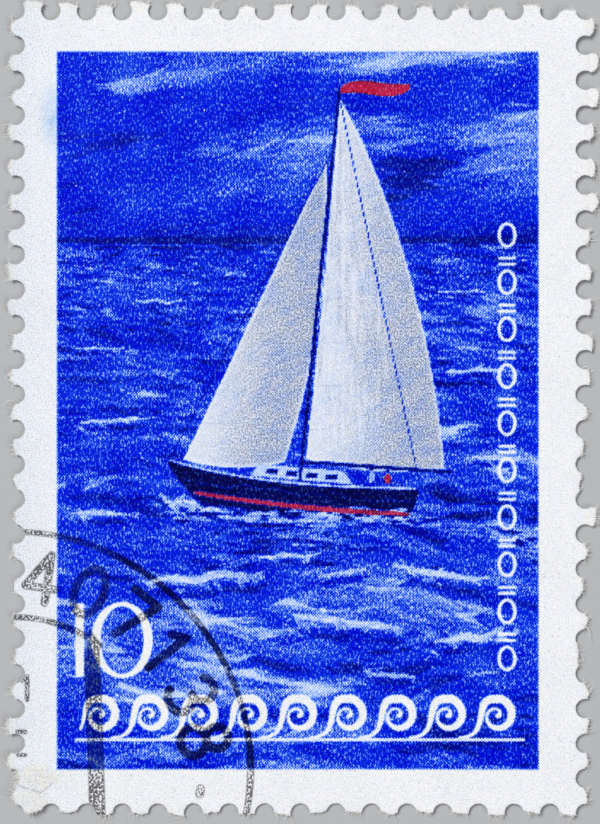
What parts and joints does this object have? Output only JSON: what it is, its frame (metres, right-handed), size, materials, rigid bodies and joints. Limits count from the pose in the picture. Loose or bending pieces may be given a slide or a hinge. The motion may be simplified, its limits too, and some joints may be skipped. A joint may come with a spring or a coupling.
{
  "type": "postage stamp",
  "caption": "Used postage stamp lying flat, face up: one sheet of white paper with torn perforated edges, a printed sea picture in a white margin and a round postmark.",
  "frame": {"origin": "middle of the sheet's underside, at z = 0 where the stamp rests", "axes": "+Y towards the top of the printed design, along the long side; +X to the right of the design; +Z out of the printed face"},
  "size_m": [0.0276, 0.0382, 0.0001],
  "materials": {
    "paper": "matt white coated paper, printed in blue, black and red on the face"
  },
  "bodies": {
    "root": {"paper": "paper"}
  },
  "joints": []
}
